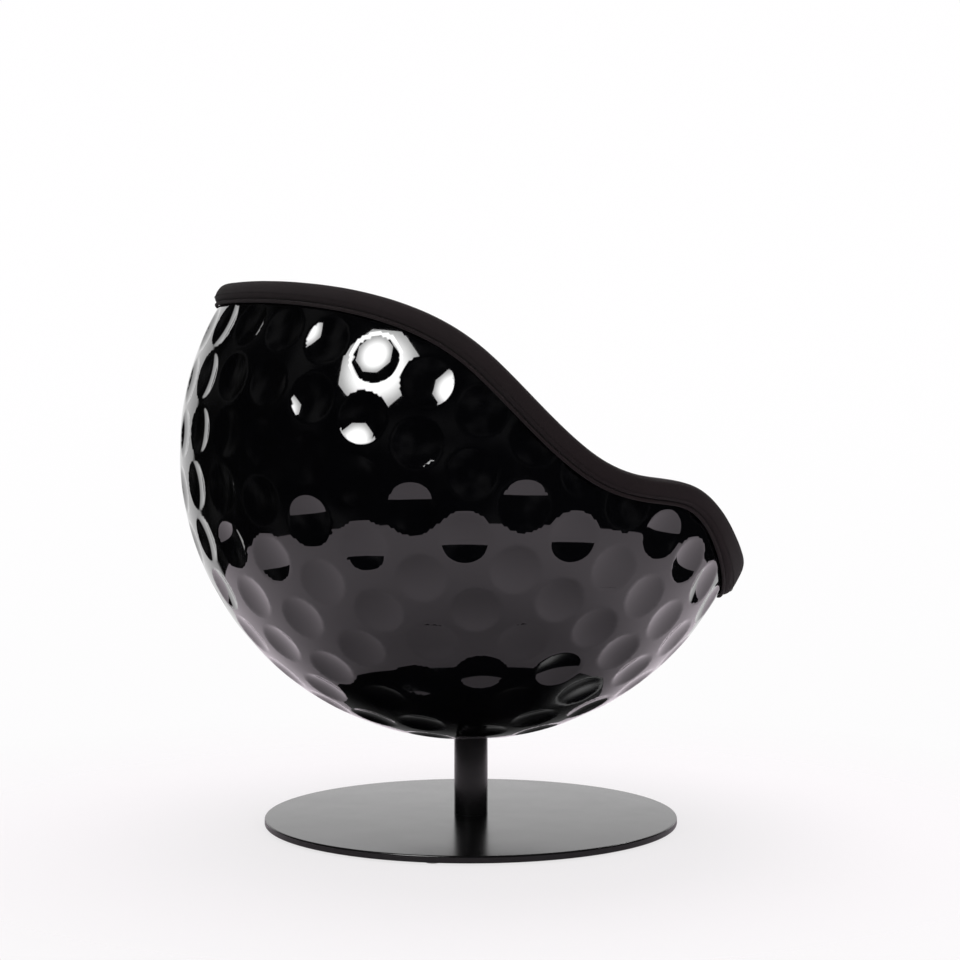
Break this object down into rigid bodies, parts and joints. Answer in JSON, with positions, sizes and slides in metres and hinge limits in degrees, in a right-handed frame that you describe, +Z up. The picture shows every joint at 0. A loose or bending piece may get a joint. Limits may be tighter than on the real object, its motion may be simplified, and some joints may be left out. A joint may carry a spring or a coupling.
{
  "type": "swivel lounge chair",
  "caption": "Swivel lounge chair: a gloss black dimpled ball shell with a swooping fabric-padded opening, on a steel tube column and a flat round base plate.",
  "frame": {"origin": "on the swivel axis at floor level, 3 mm below the centre of the base plate's underside", "axes": "+Z up along the swivel axis; the seat faces -Y at rest; +X is the sitter's left"},
  "size_m": [0.8554, 0.8289, 0.7922],
  "materials": {
    "shell_gelcoat": "polished black gel coat on glass-fibre laminate",
    "rim_fabric": "charcoal woven upholstery fabric",
    "seat_fabric": "charcoal woven upholstery fabric over foam",
    "black_steel": "satin black powder coat",
    "plain_steel": "zinc plated",
    "plywood": "birch plywood",
    "nylon": "natural nylon",
    "glass_fibre": "raw glass-fibre laminate"
  },
  "bodies": {
    "base": {"base_plate": "black_steel", "glide_1": "nylon", "glide_2": "nylon", "glide_3": "nylon", "glide_4": "nylon", "glide_5": "nylon", "glide_6": "nylon", "column_tube": "black_steel", "column_foot": "plain_steel", "foot_screw_1": "plain_steel", "foot_screw_2": "plain_steel", "foot_screw_3": "plain_steel", "upper_bush": "nylon", "lower_bush": "nylon", "thrust_washer": "plain_steel"},
    "seat": {"outer_shell": "shell_gelcoat", "rim_padding": "rim_fabric", "rim_welt": "rim_fabric", "seat_lining": "seat_fabric", "seat_cushion": "seat_fabric", "seat_piping": "seat_fabric", "back_pad": "seat_fabric", "swivel_plate": "black_steel", "spindle": "plain_steel", "retaining_washer": "plain_steel", "retaining_nut": "plain_steel", "mounting_bolt_1": "plain_steel", "mounting_bolt_2": "plain_steel", "mounting_bolt_3": "plain_steel", "mounting_bolt_4": "plain_steel", "mounting_nut_1": "plain_steel", "mounting_nut_2": "plain_steel", "mounting_nut_3": "plain_steel", "mounting_nut_4": "plain_steel", "deck_screw_1": "plain_steel", "deck_screw_2": "plain_steel", "deck_screw_3": "plain_steel", "deck_screw_4": "plain_steel", "mounting_board": "plywood", "deck_post_1": "plywood", "deck_post_2": "plywood", "deck_post_3": "plywood", "deck_post_4": "plywood", "seat_deck": "plywood", "board_tabbing": "glass_fibre"}
  },
  "joints": [
    {"name": "seat_swivel", "type": "hinge", "parent": "base", "child": "seat", "pos_m": [0, 0, 0.164], "axis": [0, 0, 1], "continuous": true}
  ]
}
